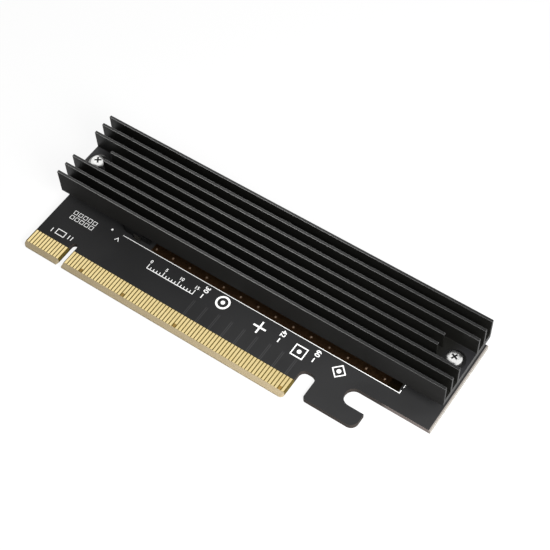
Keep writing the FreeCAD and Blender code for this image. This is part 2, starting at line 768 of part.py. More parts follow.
def check(doc, nodes):
    """Stop before anything is written if an object failed or a sub-part is not a sound solid."""
    for thing in doc.Objects:
        if "Invalid" in thing.State or "Error" in thing.State:
            raise RuntimeError(f"{thing.Label} failed: {thing.State}")
    for node in nodes:
        if node.Shape.isNull() or not node.Shape.isValid() or not node.Shape.Solids:
            raise RuntimeError(f"{node.Label} is not a sound solid")


def main():
    doc = FreeCAD.newDocument("ssd_carrier_card")
    sizes = make_sheet(doc)
    nodes = make_nodes(doc, sizes, places(sizes))
    doc.recompute()
    check(doc, nodes)
    os.makedirs(OUTPUT_FOLDER, exist_ok=True)
    for node in nodes:
        node.Shape.exportStep(os.path.join(OUTPUT_FOLDER, f"{node.Label}.step"))
        solids = node.Shape.Solids
        print(f"{node.Label}: {len(solids)} solids, {node.Shape.Volume:.2f} mm3")


main()
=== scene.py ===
"""Looks of the drive adapter card: finishes, heatsink, screws, vias, print, light and camera."""

import math

import bmesh
import bpy
from mathutils import Matrix, Vector


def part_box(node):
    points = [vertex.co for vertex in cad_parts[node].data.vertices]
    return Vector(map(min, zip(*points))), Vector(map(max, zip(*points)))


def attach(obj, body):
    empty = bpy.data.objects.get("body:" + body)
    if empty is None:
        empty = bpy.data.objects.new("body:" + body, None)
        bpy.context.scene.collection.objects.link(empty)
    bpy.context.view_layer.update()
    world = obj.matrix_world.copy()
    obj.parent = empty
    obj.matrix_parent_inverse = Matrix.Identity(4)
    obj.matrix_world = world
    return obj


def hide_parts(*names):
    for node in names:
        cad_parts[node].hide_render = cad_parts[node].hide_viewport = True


MM = 0.001

# Camera of the photograph, in degrees and millimetres, for a square image of this many pixels
IMAGE_SIDE = 550
CAMERA_AZIMUTH = 36.82
CAMERA_ELEVATION = 56.56
CAMERA_ROLL = -2.89
CAMERA_FOCAL_PIXELS = 1323.7
CAMERA_PIVOT = (0.0, 0.0, 1.6)
CAMERA_DISTANCE = 346.40
CAMERA_ASIDE = -6.92
CAMERA_ABOVE = -4.74
CAMERA_SENSOR = 36.0
CAMERA_NEAREST = 10.0

# Lamps and floor, with places and sizes in metres, powers in watts and levels from 0 to 1
KEY_PLACE = (0.16, -0.06, 0.14)
KEY_AIM = (0.05, 0.0, 0.0)
KEY_SIZE = 0.12
KEY_POWER = 1.15
FILL_PLACE = (-0.3, 0.25, 0.5)
FILL_AIM = (0.0, 0.0, 0.0)
FILL_SIZE = 0.5
FILL_POWER = 0.2
ROOM_LEVEL = 0.42
WHITE = (1, 1, 1, 1)
FLOOR_COLOUR = (0.92, 0.92, 0.92, 1)
FLOOR_GLOW = 0.9
FLOOR_HALF_SIDE = 3.0
FLOOR_LEVEL = -0.00002

# Board, in millimetres
BOARD_TOP = 1.6
BOARD_END = 60.0
END_RIM = 59.6
HOOK_END = 44.05
TAB_END = 24.3
MASK_EDGE = -14.87
BEVEL_TOP = -19.2
PLY_THICK = 0.53
PRESENCE_PLACES = (-41.35, -27.35, -10.35, 22.65)
CONTACT_HALF_WIDE = 0.35

# Pairs of traces under the mask, in millimetres
TRACE_PITCH = 4.0
TRACE_PAIR = (1.2, 1.95)
TRACE_SPLIT = (1.5, 1.66)
TRACE_TOP = -9.6
TRACE_LEFT = -11.0
TRACE_RIGHT = 24.0

# Bare plane of the drive bay: colours, roughness, share of metal, and size of its stains in millimetres; the
# colours are gilt darkened to deep brown as painted shade under the heatsink
PLANE_DARK = (0.008, 0.004, 0.0016)
PLANE_LIGHT = (0.165, 0.086, 0.04)
PLANE_END = (0.012, 0.011, 0.004, 1)
PLANE_ROUGH = 0.33
PLANE_METAL = 0.95
PLANE_STAIN = 0.7

# Vias, in millimetres, with VIA_WIDE the width of one in the CAD
VIA_COUNT = 14
VIA_WIDE = 0.9
VIA_RADIUS = 0.5
VIA_DOT = 0.3
VIA_LIP = 0.015
VIA_STEPS = 24

# Heatsink, in millimetres
FIN_COUNT = 8
FIN_THICK = 0.75
SINK_BASE = 2.2
CLEARING_FINS = 2
CLEARING_LONG = 8.0
SPOT_FACE_RADIUS = 3.0
SPOT_FACE_DEPTH = 0.2
SCREW_HOLE_RADIUS = 1.45
EASED_EDGE = 0.08
CUT_OVER = 2.0
JOIN_WELD = 0.004

# Screws, in millimetres and degrees, with the dome as shares of a head's radius and height
SINK_SCREW_RADIUS = 1.25
SINK_SCREW_TURN = 33
DRIVE_SCREW_RADIUS = 1.0
DRIVE_SCREW_TURN = 20
SCREW_STEPS = 56
SCREW_WELD = 0.02
HEAD_DOME = (
    (1.0, 0.0), (1.0, 0.28), (0.985, 0.45), (0.93, 0.64),
    (0.82, 0.81), (0.64, 0.92), (0.38, 0.985), (0.0, 1.0))

# Legend print, in millimetres
PRINT_LOW = 1.599
PRINT_HIGH = 1.612
FINE_LINE = 0.2
CORNER_LINE = 0.22
TARGET_DOT = 0.6
BAY_LEFT = -38.9
BAY_RIGHT = 48.4
BAY_LINE = -3.5
BAY_LINE_WIDE = 0.16
DRIVE_LENGTHS = ((30, -9.7), (42, 14.6), (60, 25.2))
SCALE_LEFT = -27.2
SCALE_LINE = -8.4
SCALE_LONG = 15
SCALE_STEP = 5
TALL_TICK = 1.5
SHORT_TICK = 0.8
BOX_LEFT = -54.9
BOX_LOW = -6.9
BOX_ROWS = 2
BOX_COLUMNS = 5
FIGURE_EM = 1.4
FIGURE_WELD = 0.001


def mm(*lengths):
    """Millimetres to the metres of the scene."""
    return tuple(length * MM for length in lengths)


class Wire:
    """A socket that takes part in Python arithmetic: each operator adds a Math node."""

    def __init__(self, graph, socket):
        self.graph = graph
        self.socket = socket

    def math(self, operation, first, second):
        """A Math node on two values."""
        return self.graph.node("ShaderNodeMath", {"operation": operation}, {0: first, 1: second})

    def __add__(self, other):
        return self.math("ADD", self, other)

    def __radd__(self, other):
        return self.math("ADD", other, self)

    def __sub__(self, other):
        return self.math("SUBTRACT", self, other)

    def __rsub__(self, other):
        return self.math("SUBTRACT", other, self)

    def __mul__(self, other):
        return self.math("MULTIPLY", self, other)

    def __rmul__(self, other):
        return self.math("MULTIPLY", other, self)

    def __truediv__(self, other):
        return self.math("DIVIDE", self, other)

    def __rtruediv__(self, other):
        return self.math("DIVIDE", other, self)

    def __mod__(self, other):
        return self.math("FLOORED_MODULO", self, other)

    def __pow__(self, other):
        return self.math("POWER", self, other)


class Graph:
    """A node tree under construction."""

    def __init__(self, tree):
        self.tree = tree

    def feed(self, socket, value):
        """Link a wire to a socket, or set the socket's own value."""
        if isinstance(value, Wire):
            self.tree.links.new(value.socket, socket)
        else:
            socket.default_value = value

    def node(self, kind, settings=None, sockets=None, out=0):
        """Add a node: its type, its settings, then the values or links of its sockets, several in a list."""
        made = self.tree.nodes.new(kind)
        for name, value in (settings or {}).items():
            setattr(made, name, value)
        for name, value in (sockets or {}).items():
            wires = value if isinstance(value, list) else [value]
            for wire in wires:
                self.feed(made.inputs[name], wire)
        return Wire(self, made.outputs[out])


class Finish(Graph):
    """A material under construction, with its surface coordinates in millimetres."""

    def __init__(self, name):
        self.material = bpy.data.materials.new(name)
        self.material.use_nodes = True
        super().__init__(self.material.node_tree)
        self.shader = self.tree.nodes["Principled BSDF"]
        place = self.node("ShaderNodeTexCoord", out="Object")
        self.place = self.node(
            "ShaderNodeVectorMath", {"operation": "SCALE"}, {0: place, "Scale": 1 / MM})
        split = self.node("ShaderNodeSeparateXYZ", {}, {0: self.place})
        self.x, self.y, self.z = (Wire(self, split.socket.node.outputs[axis]) for axis in "XYZ")

    def set(self, **values):
        """Set the shader's sockets, named with underscores for spaces."""
        for name, value in values.items():
            self.feed(self.shader.inputs[name.replace("_", " ")], value)

    def step(self, value, low, high):
        """Smooth rise from 0 at low to 1 at high."""
        return self.node(
            "ShaderNodeMapRange", {"interpolation_type": "SMOOTHSTEP"},
            {"Value": value, "From Min": low, "From Max": high})

    def band(self, value, low, high, soft):
        """1 between low and high, 0 outside, with soft ends."""
        rise = self.step(value, low - soft, low + soft)
        return rise - self.step(value, high - soft, high + soft)

    def noise(self, size, stretch=(1, 1, 1), detail=3.0):
        """Noise from 0 to 1 whose grains are about size millimetres, stretched along the axes."""
        scaled = self.node(
            "ShaderNodeVectorMath", {"operation": "DIVIDE"},
            {0: self.place, 1: tuple(size * factor for factor in stretch)})
        return self.node("ShaderNodeTexNoise", {}, {"Vector": scaled, "Scale": 1.0, "Detail": detail})

    def mix(self, factor, first, second):
        """Mix two colours."""
        return self.node("ShaderNodeMix", {"data_type": "RGBA"}, {0: factor, 6: first, 7: second}, out=2)

    def shades(self, value, dark, light):
        """Colour between dark and light as the value goes from 0 to 1."""
        return self.mix(value, (*dark, 1), (*light, 1))

    def larger(self, first, second):
        """The larger of two values."""
        return self.node("ShaderNodeMath", {"operation": "MAXIMUM"}, {0: first, 1: second})

    def absolute(self, value):
        """The value without its sign."""
        return self.node("ShaderNodeMath", {"operation": "ABSOLUTE"}, {0: value})

    def sine(self, value):
        """Sine of an angle in radians."""
        return self.node("ShaderNodeMath", {"operation": "SINE"}, {0: value})

    def distance(self, across, along):
        """Distance between two points that are this far apart in x and in y."""
        return (across * across + along * along) ** 0.5

    def relief(self, height, depth):
        """Bump the surface: height from 0 to 1 over a depth in millimetres."""
        bump = self.node("ShaderNodeBump", {}, {"Strength": 1.0, "Distance": depth * MM, "Height": height})
        self.set(Normal=bump)


def tab_laminate(finish, fibre):
    """Colour of the contact tab: olive between contacts, darkened there as painted shade of the narrow gaps,
    tan before short ones, pale on the bevel.
    """
    # Between the contacts the laminate is darkened as painted shade of the narrow gaps
    olive_and_gap_shade = finish.shades(fibre, (0.044, 0.032, 0.005), (0.1, 0.073, 0.015))
    pale = finish.shades(fibre, (0.185, 0.147, 0.086), (0.335, 0.277, 0.18))
    tan = finish.shades(fibre, (0.14, 0.085, 0.022), (0.29, 0.18, 0.055))
    tips = [
        finish.band(finish.x, place - CONTACT_HALF_WIDE, place + CONTACT_HALF_WIDE, soft=0.05)
        for place in PRESENCE_PLACES]
    flat = finish.mix(sum(tips), olive_and_gap_shade, tan)
    return finish.mix(finish.step(finish.y, BEVEL_TOP - 0.1, BEVEL_TOP + 0.1), pale, flat)


def edge_laminate(finish, fibre):
    """Colour of routed edges: darker brown as far as the hook, lighter brown past it, cream on the end
    faces.
    """
    plies = finish.band(finish.z % PLY_THICK, 0.14, 0.24, soft=0.05)
    layers = fibre - plies * 0.4
    # Front edges are darker as far as the hook and lighter past it
    darker_brown = finish.shades(layers, (0.012, 0.01, 0.009), (0.046, 0.038, 0.034))
    lighter_brown = finish.shades(layers, (0.05, 0.041, 0.038), (0.15, 0.127, 0.118))
    brown = finish.mix(finish.step(finish.x, HOOK_END + 1.5, HOOK_END + 4.0), darker_brown, lighter_brown)
    cream = finish.shades(fibre - plies * 0.5, (0.13, 0.115, 0.1), (0.36, 0.345, 0.315))
    end_face = finish.step(finish.absolute(finish.x), BOARD_END - 0.1, BOARD_END - 0.02)
    rim = finish.step(finish.x, END_RIM - 0.1, END_RIM)
    return finish.mix(finish.larger(end_face, rim * 0.45), brown, cream)


def glass_laminate(finish):
    """Colour of the bare board: woven glass in resin."""
    radians_per_mm = 9.0
    weave = finish.sine(finish.x * radians_per_mm) * finish.sine(finish.y * radians_per_mm) * 0.25 + 0.5
    fibre = finish.noise(0.5, stretch=(3, 1, 0.25)) * 0.6 + weave * 0.4
    past_tab = finish.step(finish.x, TAB_END + 0.05, TAB_END + 0.5)
    behind_tab = finish.step(finish.y, MASK_EDGE - 0.1, MASK_EDGE + 0.3)
    off_tab = finish.larger(past_tab, behind_tab)
    return finish.mix(off_tab, tab_laminate(finish, fibre), edge_laminate(finish, fibre))


def wipe_marks(finish):
    """Fine marks along y, the way that a card slides into its slot."""
    return finish.noise(0.09, stretch=(1, 22, 1), detail=2.0)


def gilt_surface(finish, wipe, stain_size, dark, light, rough):
    """Colour and roughness of a gilt surface with wipe marks and stains."""
    stain = finish.noise(stain_size)
    colour = finish.shades(stain * 0.6 + wipe * 0.4, dark, light)
    return colour, wipe * 0.1 + stain * 0.06 + rough


def bay_copper(finish, wipe, plane):
    """Colour and roughness of the bay's bare copper, darkened as painted shade under the heatsink, and
    darker still at its right end.
    """
    colour, rough = gilt_surface(finish, wipe, PLANE_STAIN, PLANE_DARK, PLANE_LIGHT, PLANE_ROUGH)
    end = finish.step(finish.x, plane.high[0] - 3.6, plane.high[0] - 2.6)
    return finish.mix(end * 0.8, colour, PLANE_END), rough


def solder_mask(plane):
    """Matte black mask, open over the contacts and before the bay's plane, with bare cut edges."""
    finish = Finish("solder_mask_black")
    opening = finish.band(finish.y, BAY_LINE + BAY_LINE_WIDE / 2, plane.low[1] + 0.05, soft=0.02)
    opening = opening * finish.band(finish.x, plane.low[0], plane.high[0], soft=0.05)
    opening = opening * finish.step(finish.z, BOARD_TOP - 0.03, BOARD_TOP - 0.01)
    # The opening before the plane takes the bay's copper colour, darkened as painted shade
    copper, copper_rough = bay_copper(finish, wipe_marks(finish), plane)
    cut = finish.band(finish.z, 0.03, BOARD_TOP - 0.03, soft=0.02)
    window = 1 - finish.step(finish.y, MASK_EDGE - 0.05, MASK_EDGE + 0.05)
    window = window * (1 - finish.step(finish.x, TAB_END, TAB_END + 0.5))
    rim = finish.step(finish.x, END_RIM - 0.03, END_RIM + 0.03)
    bare = finish.larger(finish.larger(cut, window), rim)

    across = (finish.x + BOARD_END) % TRACE_PITCH
    traces = finish.band(across, *TRACE_PAIR, soft=0.08) - finish.band(across, *TRACE_SPLIT, soft=0.05)
    traces = traces * finish.band(finish.y, MASK_EDGE, TRACE_TOP, soft=0.4)
    traces = traces * finish.band(finish.x, TRACE_LEFT, TRACE_RIGHT, soft=0.5)
    pour = finish.step(finish.noise(14.0, stretch=(1.6, 1, 1), detail=1.0), 0.42, 0.58)
    grain = finish.noise(0.12, detail=4.0)
    cloud = finish.noise(22.0, detail=2.0)

    tone = cloud * 0.35 + grain * 0.25 + traces * 0.5 + pour * 0.08
    mask = finish.shades(tone, (0.01, 0.01, 0.0102), (0.031, 0.031, 0.0315))
    board = finish.mix(bare, mask, glass_laminate(finish))
    board_rough = 0.46 + grain * 0.1 + bare * 0.2
    finish.set(
        Base_Color=finish.mix(opening, board, copper),
        Metallic=opening * PLANE_METAL,
        Roughness=board_rough * (1 - opening) + copper_rough * opening,
        Specular_IOR_Level=0.05)
    finish.relief(traces * 0.7 + pour * 0.15 + grain * 0.12, depth=0.035)
    return finish.material


def bare_plane(plane):
    """Gilt copper plane of the drive bay, dull, its colour darkened to deep brown as painted shade under the
    heatsink.
    """
    finish = Finish("plane_gold")
    wipe = wipe_marks(finish)
    colour, rough = bay_copper(finish, wipe, plane)
    finish.set(Base_Color=colour, Metallic=PLANE_METAL, Roughness=rough)
    finish.relief(wipe, depth=0.004)
    return finish.material


def hard_gold():
    """Hard gold over nickel on the contacts."""
    finish = Finish("contact_gold")
    wipe = wipe_marks(finish)
    colour, rough = gilt_surface(
        finish, wipe, stain_size=2.6, dark=(0.68, 0.52, 0.23), light=(0.84, 0.7, 0.37), rough=0.27)
    finish.set(Base_Color=colour, Metallic=1.0, Roughness=rough)
    finish.relief(wipe, depth=0.004)
    return finish.material


def dull_tin():
    """Tin over steel, dull and a little uneven."""
    finish = Finish("tin_dull")
    flow = finish.noise(0.3)
    finish.set(
        Base_Color=finish.shades(flow, (0.04, 0.037, 0.033), (0.11, 0.104, 0.096)),
        Metallic=1.0,
        Roughness=0.42 + flow * 0.18)
    finish.relief(flow, depth=0.02)
    return finish.material


def filled_via(vias, pitch):
    """Gilt ring round a dot of tin, told apart by the distance from the nearest via's middle."""
    finish = Finish("via_gilt_and_tin")
    across = (finish.x - (vias.low[0] + VIA_WIDE / 2 - pitch / 2)) % pitch - pitch / 2
    reach = finish.distance(across, finish.y - vias.middle[1])
    dot = 1 - finish.step(reach, VIA_DOT - 0.05, VIA_DOT + 0.03)
    flow = finish.noise(0.25)
    gilt = finish.shades(flow, (0.09, 0.042, 0.016), (0.2, 0.1, 0.045))
    tin = finish.shades(flow, (0.09, 0.062, 0.044), (0.2, 0.15, 0.11))
    finish.set(
        Base_Color=finish.mix(dot, gilt, tin),
        Metallic=1.0 - dot * 0.6,
        Roughness=0.32 + flow * 0.16)
    finish.relief(flow, depth=0.015)
    return finish.material


def nickel_plate(name, dark, light, rough):
    """Nickel plate with fine marks, between two greys."""
    finish = Finish(name)
    flow = finish.noise(1.4, detail=2.0)
    marks = finish.noise(0.05)
    finish.set(
        Base_Color=finish.shades(flow, (dark, dark, dark * 0.98), (light, light, light * 0.98)),
        Metallic=1.0,
        Roughness=rough + marks * 0.12)
    finish.relief(marks, depth=0.004)
    return finish.material


def moulded_nylon():
    """Black glass-filled nylon of the socket."""
    finish = Finish("nylon_black")
    grain = finish.noise(0.08, detail=4.0)
    flow = finish.noise(2.5, stretch=(1, 3, 1), detail=2.0)
    finish.set(
        Base_Color=finish.shades(flow, (0.002, 0.002, 0.002), (0.007, 0.007, 0.0072)),
        Roughness=0.5 + grain * 0.2,
        Specular_IOR_Level=0.1)
    finish.relief(grain, depth=0.012)
    return finish.material


def soft_heat_pad():
    """Soft filled-silicone heat pad."""
    finish = Finish("heat_pad_grey")
    grain = finish.noise(0.25, detail=4.0)
    dimple = finish.noise(3.0, detail=2.0)
    finish.set(
        Base_Color=finish.shades(grain * 0.5 + dimple * 0.5, (0.13, 0.15, 0.17), (0.24, 0.27, 0.31)),
        Roughness=0.72 + grain * 0.15)
    finish.relief(grain * 0.4 + dimple * 0.6, depth=0.05)
    return finish.material


def legend_ink():
    """White screen-printed ink, a little thin in places."""
    finish = Finish("legend_white")
    thin = finish.noise(0.35)
    finish.set(
        Base_Color=finish.shades(thin, (0.66, 0.66, 0.65), (0.9, 0.9, 0.89)),
        Roughness=0.55 + thin * 0.15)
    finish.relief(thin, depth=0.006)
    return finish.material


def spot_faces(finish, sink, screw_inset):
    """Mask of the milled faces under the screws, their turning marks and their bare colour, light at the
    heatsink's left end and darkened as painted shade further in and at the right screw.
    """
    radians_per_mm = 42.0
    floor_level = sink.low[2] + SINK_BASE
    across = finish.absolute(finish.x) - (sink.high[0] - screw_inset)
    reach = finish.distance(across, finish.y - sink.middle[1])
    milled = 1 - finish.step(reach, SPOT_FACE_RADIUS - 0.06, SPOT_FACE_RADIUS + 0.02)
    milled = milled * finish.band(finish.z, floor_level - 0.5, floor_level - 0.05, soft=0.03)
    # Bare milled metal darkened as painted shade away from the heatsink's left end
    shaded_inward = finish.step(finish.x, sink.low[0] + 2.2, sink.low[0] + 4.6)
    bare = finish.shades(shaded_inward, (0.26, 0.26, 0.255), (0.03, 0.03, 0.03))
    return milled, finish.sine(reach * radians_per_mm), bare


def clearing_floors(finish, sink):
    """Mask of the clearings' floors, rising to 1 towards the heatsink's ends, where the floors are made
    paler as painted light.
    """
    floor_level = sink.low[2] + SINK_BASE
    pitch = (sink.size[1] - FIN_THICK) / (FIN_COUNT - 1)
    half_wide = (pitch * (CLEARING_FINS + 1) - FIN_THICK) / 2
    outward = finish.step(finish.absolute(finish.x), sink.high[0] - 7.0, sink.high[0] - 1.5)
    between = finish.band(finish.y - sink.middle[1], -half_wide, half_wide, soft=0.1)
    level = finish.band(finish.z, floor_level - 0.1, floor_level + 0.02, soft=0.01)
    return outward * between * level


def black_anodised(sink, screw_inset):
    """Black anodised extrusion: drawn lines along the fins; painted highlights on the eased top edges; fin
    tops paler as painted light and sawn ends paler; clearing floors paler as painted light; these greys
    lighter at the left and darker at the right as painted light; inner faces darkened as painted shade.
    """
    finish = Finish("anodised_black")
    facing = finish.node("ShaderNodeTexCoord", out="Normal")
    upward = finish.node("ShaderNodeSeparateXYZ", {}, {0: facing}, out="Z")
    high = finish.step(finish.z, sink.high[2] - 0.2, sink.high[2] - 0.15)
    # Painted highlight along the eased top edges
    edge_highlight = high * finish.band(upward, 0.2, 0.95, soft=0.03)
    ends = 1 - finish.band(finish.x, sink.low[0] + 0.06, sink.high[0] - 0.06, soft=0.03)
    ends = ends * finish.step(finish.z, sink.low[2] + SINK_BASE, sink.low[2] + SINK_BASE + 1.0)
    # Fin tops paler as painted light from above, and the sawn end faces paler
    lit_tops_and_sawn_ends = finish.larger(high * finish.step(upward, 0.94, 0.97), ends * 0.6)
    # Inner faces between the foremost and rearmost fin faces, darkened below the tops as painted shade
    shaded_inner_faces = finish.band(finish.y, sink.low[1] + 0.2, sink.high[1] - 0.2, soft=0.1) * (1 - high)
    # Painted light: the paler greys are lighter at the left and darker towards the right
    painted_light_fade = finish.step(finish.x, sink.middle[0] - 15.0, sink.high[0] - 2.0)
    milled, turning, bare = spot_faces(finish, sink, screw_inset)
    drawn = finish.noise(0.1, stretch=(400, 1, 1))
    cloud = finish.noise(9.0, stretch=(3, 1, 1), detail=2.0)
    grain = finish.noise(0.07)
    streak = drawn * 0.7 + grain * 0.3

    # Greys at the left end and at the right: painted light, lighter at the left and darker towards the right
    pale_left = finish.shades(streak, (0.02, 0.02, 0.0197), (0.044, 0.044, 0.0435))
    pale_right = finish.shades(streak, (0.006, 0.006, 0.006), (0.013, 0.013, 0.013))
    # Clearing floors paler as painted light, more at the left than the right
    painted_light_floor_left = finish.shades(streak, (0.028, 0.028, 0.0284), (0.062, 0.062, 0.063))
    painted_light_floor_right = finish.shades(streak, (0.0065, 0.0065, 0.007), (0.0135, 0.0135, 0.0145))
    edge_highlight_grey = finish.shades(painted_light_fade, (0.2, 0.2, 0.198), (0.045, 0.045, 0.045))
    pale = finish.mix(painted_light_fade, pale_left, pale_right)
    floor = finish.mix(painted_light_fade, painted_light_floor_left, painted_light_floor_right)

    dull = finish.shades(drawn * 0.6 + cloud * 0.4, (0.0027, 0.0026, 0.0025), (0.0094, 0.0091, 0.0086))
    # Inner faces darkened as painted shade
    dull = finish.mix(shaded_inner_faces * 0.7, dull, (0.0048, 0.0048, 0.0041, 1))
    dull = finish.mix(clearing_floors(finish, sink), dull, floor)
    black = finish.mix(edge_highlight, finish.mix(lit_tops_and_sawn_ends, dull, pale), edge_highlight_grey)
    smooth = finish.larger(finish.step(upward, 0.2, 0.6), shaded_inner_faces)
    finish.set(
        Base_Color=finish.mix(milled, black, bare),
        Metallic=milled,
        Roughness=0.62 - smooth * 0.28 + drawn * 0.1 + grain * 0.06,
        Specular_IOR_Level=0.15)
    finish.relief(streak + milled * turning * 0.3, depth=0.0025)
    return finish.material


class Box:
    """Lowest and highest corner of a CAD node, in millimetres."""

    def __init__(self, node):
        low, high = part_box(node)
        self.low = tuple(value / MM for value in low)
        self.high = tuple(value / MM for value in high)
        self.size = tuple(b - a for a, b in zip(self.low, self.high))
        self.middle = tuple((a + b) / 2 for a, b in zip(self.low, self.high))


def new_object(name, data):
    """An object in the scene's own collection."""
    made = bpy.data.objects.new(name, data)
    bpy.context.scene.collection.objects.link(made)
    return made


def evaluated_mesh(holder):
    """The finished mesh of a holder, which is then removed."""
    graph = bpy.context.evaluated_depsgraph_get()
    mesh = bpy.data.meshes.new_from_object(holder.evaluated_get(graph))
    bpy.data.objects.remove(holder)
    return mesh


def settled(name, holder):
    """The finished mesh of a holder as a plain object, in place of the holder."""
    mesh = evaluated_mesh(holder)
    mesh.name = name
    return new_object(name, mesh)


def add_bevel(holder, width):
    """Ease the sharp edges by a width in millimetres."""
    ease = holder.modifiers.new("eased_edges", "BEVEL")
    ease.width = width * MM
    ease.segments = 2
    ease.limit_method = "ANGLE"
    ease.angle_limit = math.radians(40)
    ease.use_clamp_overlap = False


def weld(mesh, distance):
    """Merge the corners of a mesh that are closer than a distance in millimetres."""
    shape = bmesh.new()
    shape.from_mesh(mesh)
    bmesh.ops.remove_doubles(shape, verts=shape.verts, dist=distance * MM)
    bmesh.ops.dissolve_degenerate(shape, edges=shape.edges, dist=distance * MM)
    shape.to_mesh(mesh)
    shape.free()


def mesh_piece(name, shape, material, smooth=False):
    """An object from a bmesh."""
    mesh = bpy.data.meshes.new(name)
    bmesh.ops.recalc_face_normals(shape, faces=shape.faces)
    for face in shape.faces:
        face.smooth = smooth
    shape.to_mesh(mesh)
    shape.free()
    mesh.materials.append(material)
    return new_object(name, mesh)


class Recipe(Graph):
    """A Geometry Nodes tree under construction, with named inputs for its sizes and counts."""

    def __init__(self, name, **sizes):
        super().__init__(bpy.data.node_groups.new(name, "GeometryNodeTree"))
        self.name = name
        self.sizes = sizes
        sockets = self.tree.interface
        sockets.new_socket("Geometry", in_out="OUTPUT", socket_type="NodeSocketGeometry")
        self.identifiers = {}
        for size, value in sizes.items():
            kind = "NodeSocketInt" if isinstance(value, int) else "NodeSocketFloat"
            made = sockets.new_socket(size, in_out="INPUT", socket_type=kind)
            self.identifiers[size] = made.identifier
        self.source = self.tree.nodes.new("NodeGroupInput")

    def size(self, name):
        """A named size as a wire: a count as it is, a length in metres."""
        wire = Wire(self, self.source.outputs[name])
        return wire if isinstance(self.sizes[name], int) else wire * MM

    def vector(self, x, y, z):
        """Three values as one vector."""
        return self.node("ShaderNodeCombineXYZ", {}, {0: x, 1: y, 2: z})

    def block(self, x, y, z):
        """A box of that size round the origin."""
        return self.node("GeometryNodeMeshCube", {}, {"Size": self.vector(x, y, z)})

    def peg(self, radius, depth):
        """An upright cylinder round the origin."""
        return self.node(
            "GeometryNodeMeshCylinder", {}, {"Vertices": 64, "Radius": radius, "Depth": depth})

    def moved(self, piece, way):
        """A piece moved by a vector."""
        return self.node("GeometryNodeTransform", {}, {"Geometry": piece, "Translation": way})

    def row(self, piece, count, start, pitch, turn=None):
        """Instances of a piece in a row, each turned by its own angle where turn is given."""
        points = self.node(
            "GeometryNodeMeshLine", {}, {"Count": count, "Start Location": start, "Offset": pitch})
        sockets = {"Points": points, "Instance": piece}
        if turn is not None:
            number = self.node("GeometryNodeInputIndex")
            sockets["Rotation"] = self.vector(0.0, 0.0, (number + 1.0) * turn)
        return self.node("GeometryNodeInstanceOnPoints", {}, sockets)

    def realise(self, piece):
        """Instances made plain geometry."""
        return self.node("GeometryNodeRealizeInstances", {}, {0: piece})

    def join(self, operation, first, second):
        """Union of two pieces, or first less second."""
        sockets = {1: [first, second]} if operation == "UNION" else {0: first, 1: second}
        mesh = self.node("GeometryNodeMeshBoolean", {"operation": operation, "solver": "EXACT"}, sockets)
        return self.node("GeometryNodeMergeByDistance", {}, {"Geometry": mesh, "Distance": JOIN_WELD * MM})

    def piece(self, name, geometry, material, bevel=0.0, spare=None):
        """Run the tree and keep its result as a plain mesh; faces of the spare material keep it."""
        sockets = {"Geometry": self.realise(geometry), "Material": material}
        if spare is not None:
            kept = self.node("GeometryNodeMaterialSelection", {}, {"Material": spare})
            sockets["Selection"] = self.node("FunctionNodeBooleanMath", {"operation": "NOT"}, {0: kept})
        painted = self.node("GeometryNodeSetMaterial", {}, sockets)
        target = self.tree.nodes.new("NodeGroupOutput")
        self.feed(target.inputs[0], painted)
        holder = new_object(name + "_recipe", bpy.data.meshes.new(name + "_seed"))
        modifier = holder.modifiers.new(self.name, "NODES")
        modifier.node_group = self.tree
        for size, value in self.sizes.items():
            modifier[self.identifiers[size]] = value
        if bevel:
            add_bevel(holder, bevel)
        return settled(name, holder)


def circle_points(x, y, radius, steps):
    """The (x, y) points of a circle, in millimetres."""
    turns = [2 * math.pi * step / steps for step in range(steps)]
    return [(x + radius * math.cos(turn), y + radius * math.sin(turn)) for turn in turns]


def lathe(profile, steps):
    """A turned shape from (radius, height) points in millimetres that start and end on the axis."""
    shape = bmesh.new()
    rings = []
    for radius, height in profile:
        spots = circle_points(0.0, 0.0, radius, steps) if radius else [(0.0, 0.0)]
        rings.append([shape.verts.new(mm(x, y, height)) for x, y in spots])
    for lower, upper in zip(rings, rings[1:]):
        for step in range(steps):
            after = (step + 1) % steps
            corners = []
            for ring, places in ((lower, (step, after)), (upper, (after, step))):
                for place in places if len(ring) > 1 else places[:1]:
                    corners.append(ring[place % len(ring)])
            shape.faces.new(corners)
    return shape


def tapered_bar(long_top, wide_top, long_low, wide_low, high, low):
    """One bar of a cross recess, narrowing downwards, from its half lengths and half widths."""
    shape = bmesh.new()
    rings = []
    for half_long, half_wide, level in ((long_low, wide_low, low), (long_top, wide_top, high)):
        corners = ((-1, -1), (1, -1), (1, 1), (-1, 1))
        rings.append([shape.verts.new(mm(a * half_long, b * half_wide, level)) for a, b in corners])
    shape.faces.new(rings[0][::-1])
    shape.faces.new(rings[1])
    for side in range(4):
        after = (side + 1) % 4
        shape.faces.new((rings[0][side], rings[0][after], rings[1][after], rings[1][side]))
    return shape


def cross_screw(name, radius, length, head_radius, head_high, material, recess_shade_material):
    """Pan-head screw with a cross recess, its head seated on z = 0."""
    profile = [(0.0, -length), (radius * 0.8, -length), (radius, -length + radius * 0.3), (radius, 0.0)]
    profile += [(head_radius * out, head_high * up) for out, up in HEAD_DOME]
    head = mesh_piece(name, lathe(profile, SCREW_STEPS), material, smooth=True)
    for turn in (0.0, math.pi / 2):
        bar = tapered_bar(
            long_top=head_radius * 0.5, wide_top=head_radius * 0.11,
            long_low=head_radius * 0.28, wide_low=head_radius * 0.06,
            high=head_high * 1.2, low=head_high * 0.4)
        # The cutter's darker material stays on the recess faces as painted shade
        cutter = mesh_piece(name + "_cutter", bar, recess_shade_material)
        cutter.data.transform(Matrix.Rotation(turn, 4, "Z"))
        recess = head.modifiers.new("recess", "BOOLEAN")
        recess.object = cutter
        recess.operation = "DIFFERENCE"
        recess.solver = "EXACT"
        recess.material_mode = "TRANSFER"
        head = settled(name, head)
        bpy.data.objects.remove(cutter)
    weld(head.data, SCREW_WELD)
    add_bevel(head, head_radius * 0.025)
    return settled(name, head)


